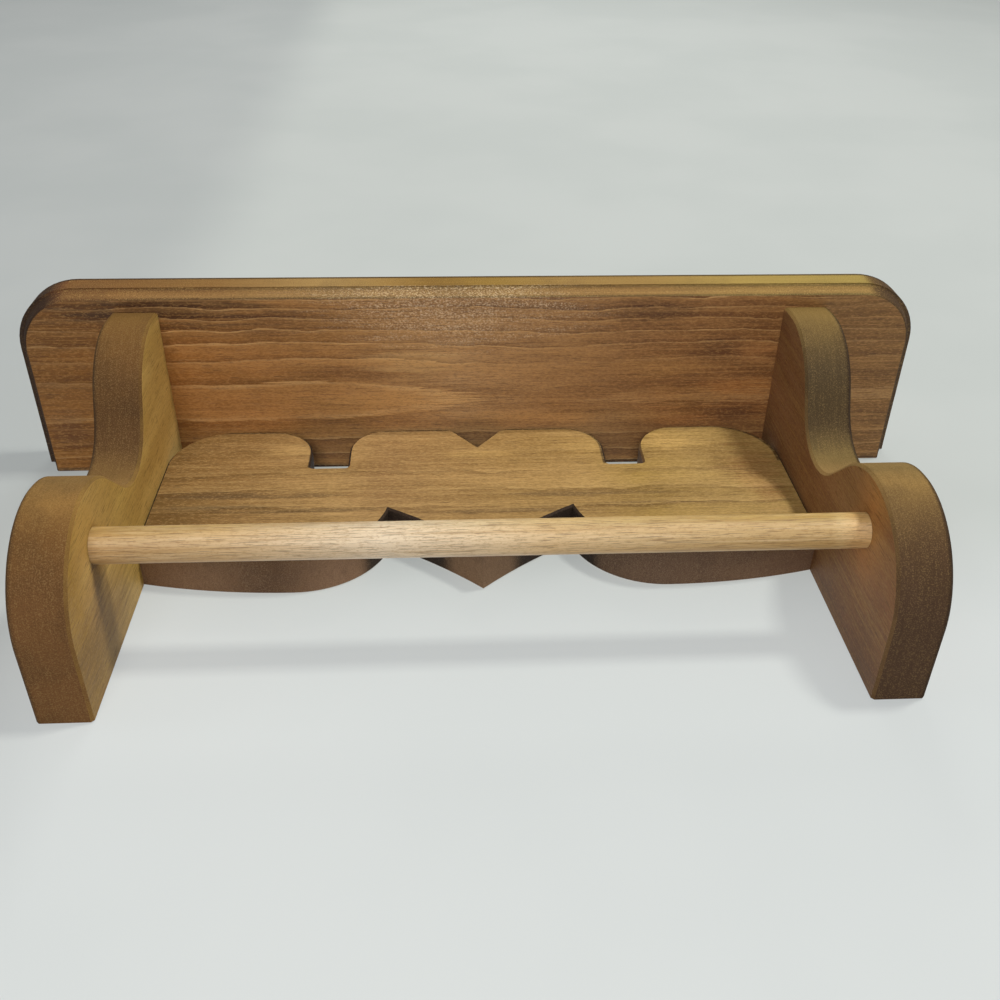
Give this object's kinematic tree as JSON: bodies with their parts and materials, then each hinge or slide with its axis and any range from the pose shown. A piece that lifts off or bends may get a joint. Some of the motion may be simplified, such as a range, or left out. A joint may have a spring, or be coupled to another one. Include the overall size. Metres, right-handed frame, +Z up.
{
  "type": "wall shelf with towel bar",
  "caption": "Stained pine wall shelf with rounded, moulded edge on scroll-cut brackets, a heart-cut back panel and a turning dowel towel bar below.",
  "frame": {"origin": "middle of the back panel's rear face, on the wall", "axes": "+X along the shelf to the viewer's right, +Y into the wall, +Z up"},
  "size_m": [0.389, 0.0846, 0.176],
  "materials": {
    "stained_pine_shelf": "stained, satin",
    "stained_pine_bracket": "stained, satin",
    "stained_pine_panel": "stained, satin",
    "bare_dowel": "sanded, bare",
    "screw_steel": "zinc plated",
    "wood_plug": "stained, satin"
  },
  "bodies": {
    "root": {"shelf": "stained_pine_shelf", "bracket_left": "stained_pine_bracket", "bracket_right": "stained_pine_bracket", "back_panel": "stained_pine_panel", "shelf_screws": "screw_steel", "panel_screws": "screw_steel", "shelf_plugs": "wood_plug", "bracket_plugs": "wood_plug"},
    "bar": {"towel_bar": "bare_dowel"}
  },
  "joints": [
    {"name": "bar_turn", "type": "hinge", "parent": "root", "child": "bar", "pos_m": [0, -0.0468, -0.0758], "axis": [1, 0, 0], "continuous": true}
  ]
}
